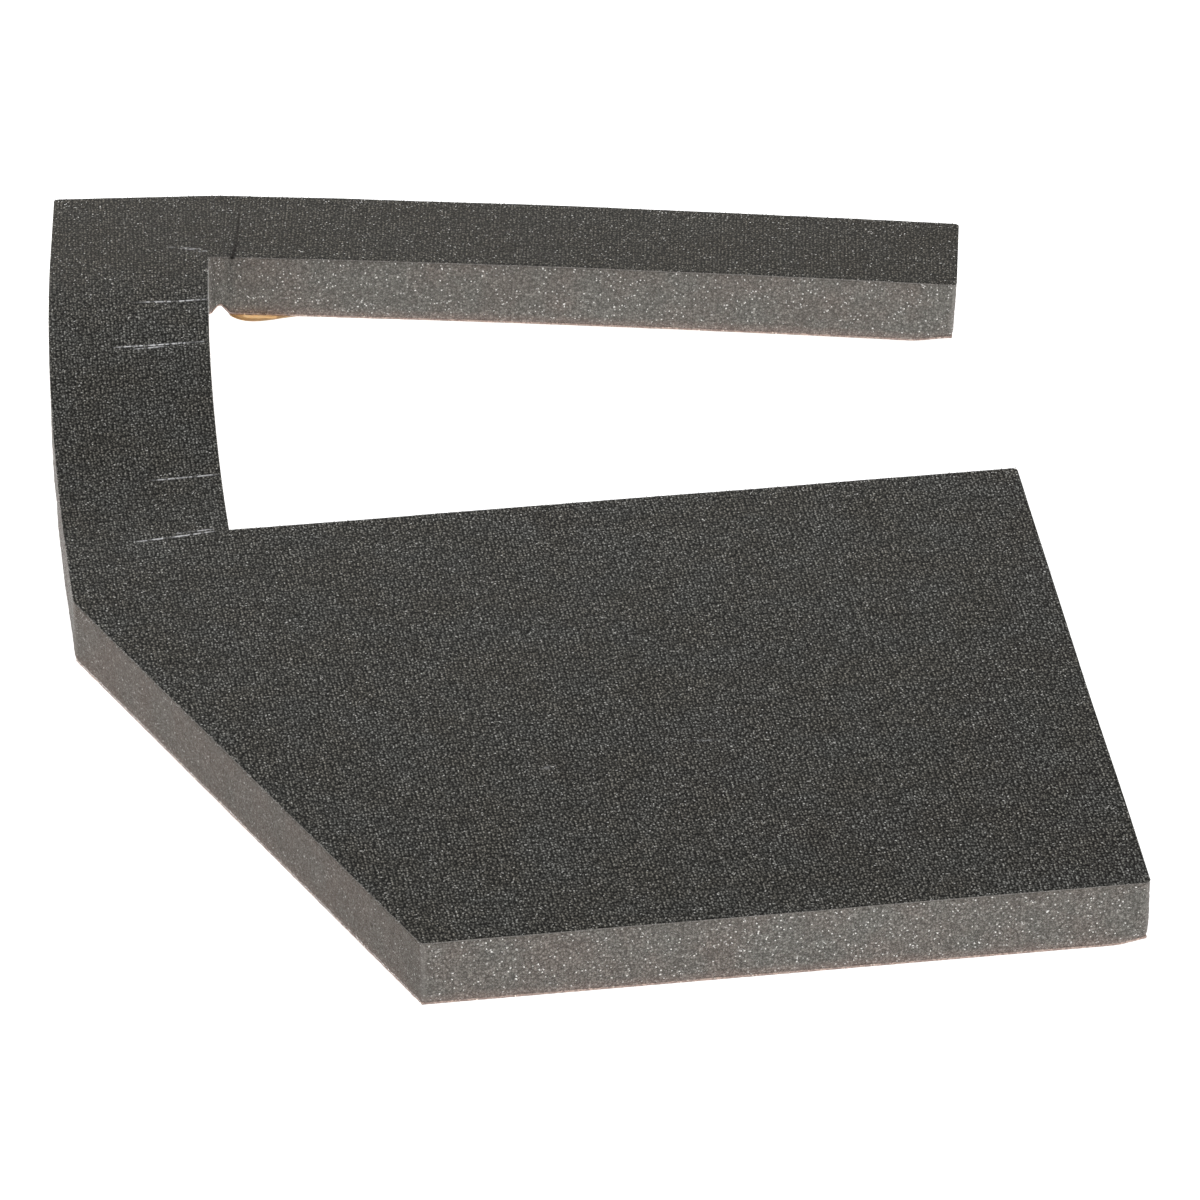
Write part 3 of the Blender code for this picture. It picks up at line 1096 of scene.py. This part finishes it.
def outline_place(outline, distance):
    """Point and outward direction at a distance along the flat outline."""
    count = len(outline)
    for index in range(count):
        start = Vector(outline[index])
        span = Vector(outline[(index + 1) % count]) - start
        if distance <= span.length:
            forward = span.normalized()
            return start + forward * distance, Vector((forward.y, -forward.x))
        distance -= span.length
    return Vector(outline[0]), Vector((0.0, -1.0))


def add_fibre(shape, root, aim, length, radius):
    """A fine tapered fibre from its root."""
    turn = aim.to_track_quat("Z", "Y").to_matrix().to_4x4()
    matrix = Matrix.Translation(root + aim * length / 2.0) @ turn
    bmesh.ops.create_cone(
        shape, cap_ends=True, segments=3, radius1=radius, radius2=radius * 0.35,
        depth=length, matrix=matrix,
    )


def add_yarn_ends(shape, outline, total, chance):
    """Cut yarn ends that stand out of the fabric's edge all round."""
    for _ in range(FUZZ_COUNT):
        place, out = outline_place(outline, chance.random() * total)
        height = KNIT_TOP - KNIT_THICKNESS * chance.random()
        length = (0.35 + 0.75 * chance.random() ** 2.0) * MM
        tilt = chance.uniform(-0.2, 1.1)
        swing = chance.uniform(-0.8, 0.8)
        along = Vector((-out.y, out.x))
        aim = Vector((*(out + along * swing), math.tan(tilt))).normalized()
        root = Vector((*(place - out * 0.25 * MM), height))
        add_fibre(shape, root, aim, length, FUZZ_RADIUS)


def add_tufts(shape, outline, total, chance):
    """Short upright tufts in a band beside the edges that face back."""
    tufts = 0
    while tufts < TUFT_COUNT:
        place, out = outline_place(outline, chance.random() * total)
        inset = TUFT_BAND * chance.random() ** 2.5
        spread = Vector((chance.uniform(-0.5, 0.5), chance.uniform(-0.5, 0.5), 1.0))
        radius = (0.06 + 0.09 * chance.random()) * MM
        if out.y < 0.5:
            continue
        root = Vector((*(place - out * inset), KNIT_TOP - 0.1 * MM))
        add_fibre(shape, root, spread.normalized(), TUFT_LENGTH, radius)
        tufts += 1


def build_edge_fuzz():
    """Loose yarn ends and tufts along the fabric's edges."""
    chance = random.Random(FUZZ_SEED)
    outline = pad_outline()
    corners = [Vector(corner) for corner in outline]
    total = sum((corners[i] - corners[i - 1]).length for i in range(len(corners)))
    shape = bmesh.new()
    add_yarn_ends(shape, outline, total, chance)
    add_tufts(shape, outline, total, chance)
    bend_shape(shape, 0.0)
    return make_piece("edge_fuzz", shape, charcoal_fuzz(), "pad")


# Floor, light and camera --------------------------------------------------------------


def make_floor():
    """A wide floor that the pad lies on."""
    shape = bmesh.new()
    bmesh.ops.create_grid(shape, x_segments=1, y_segments=1, size=30.0)
    mesh = bpy.data.meshes.new("studio_floor")
    shape.to_mesh(mesh)
    shape.free()
    mesh.materials.append(white_floor())
    floor = bpy.data.objects.new("studio_floor", mesh)
    bpy.context.scene.collection.objects.link(floor)


def soft_light(name, place, size, power):
    """A square soft light that looks at the middle of the pad."""
    lamp = bpy.data.lights.new(name, "AREA")
    lamp.size = size
    lamp.energy = power
    light = bpy.data.objects.new(name, lamp)
    light.location = place
    light.rotation_euler = (-Vector(place)).to_track_quat("-Z", "Y").to_euler()
    bpy.context.scene.collection.objects.link(light)


def make_lights():
    """Even light from all round, one soft light in front and two low ones behind."""
    world = bpy.data.worlds.new("studio")
    world.use_nodes = True
    background = world.node_tree.nodes["Background"]
    background.inputs["Color"].default_value = (1.0, 1.0, 1.0, 1.0)
    background.inputs["Strength"].default_value = 0.40
    bpy.context.scene.world = world
    soft_light("key_light", (0.6, -1.1, 1.3), 0.7, 14.0)
    soft_light("back_light", (0.1, 0.9, 0.25), 0.4, 14.0)
    soft_light("left_light", (-0.9, 1.0, 0.25), 0.5, 16.0)
    bpy.context.scene.view_settings.view_transform = "Standard"


def make_camera():
    """Camera in front of the pad, a little to its left and 31 degrees up."""
    lens = bpy.data.cameras.new("camera")
    lens.lens = LENS_LENGTH
    lens.sensor_width = SENSOR_WIDTH
    camera = bpy.data.objects.new("camera", lens)
    bpy.context.scene.collection.objects.link(camera)
    middle = (CAD_LOW + CAD_HIGH) / 2.0
    target = Vector((middle.x + AIM_RIGHT, middle.y - AIM_FORWARD, CAD_LOW.z + AIM_HEIGHT))
    back = Vector((-math.sin(CAMERA_TURN) * math.cos(CAMERA_ELEVATION),
                   -math.cos(CAMERA_TURN) * math.cos(CAMERA_ELEVATION),
                   math.sin(CAMERA_ELEVATION)))
    camera.location = target + back * CAMERA_DISTANCE
    camera.rotation_euler = (-back).to_track_quat("-Z", "Y").to_euler()
    bpy.context.scene.camera = camera


make_camera()
make_floor()
make_lights()
build_foam_body()
knit_face = build_knit_face()
build_glue_film()
liner_sheet = build_liner_sheet()
edge_fuzz = build_edge_fuzz()
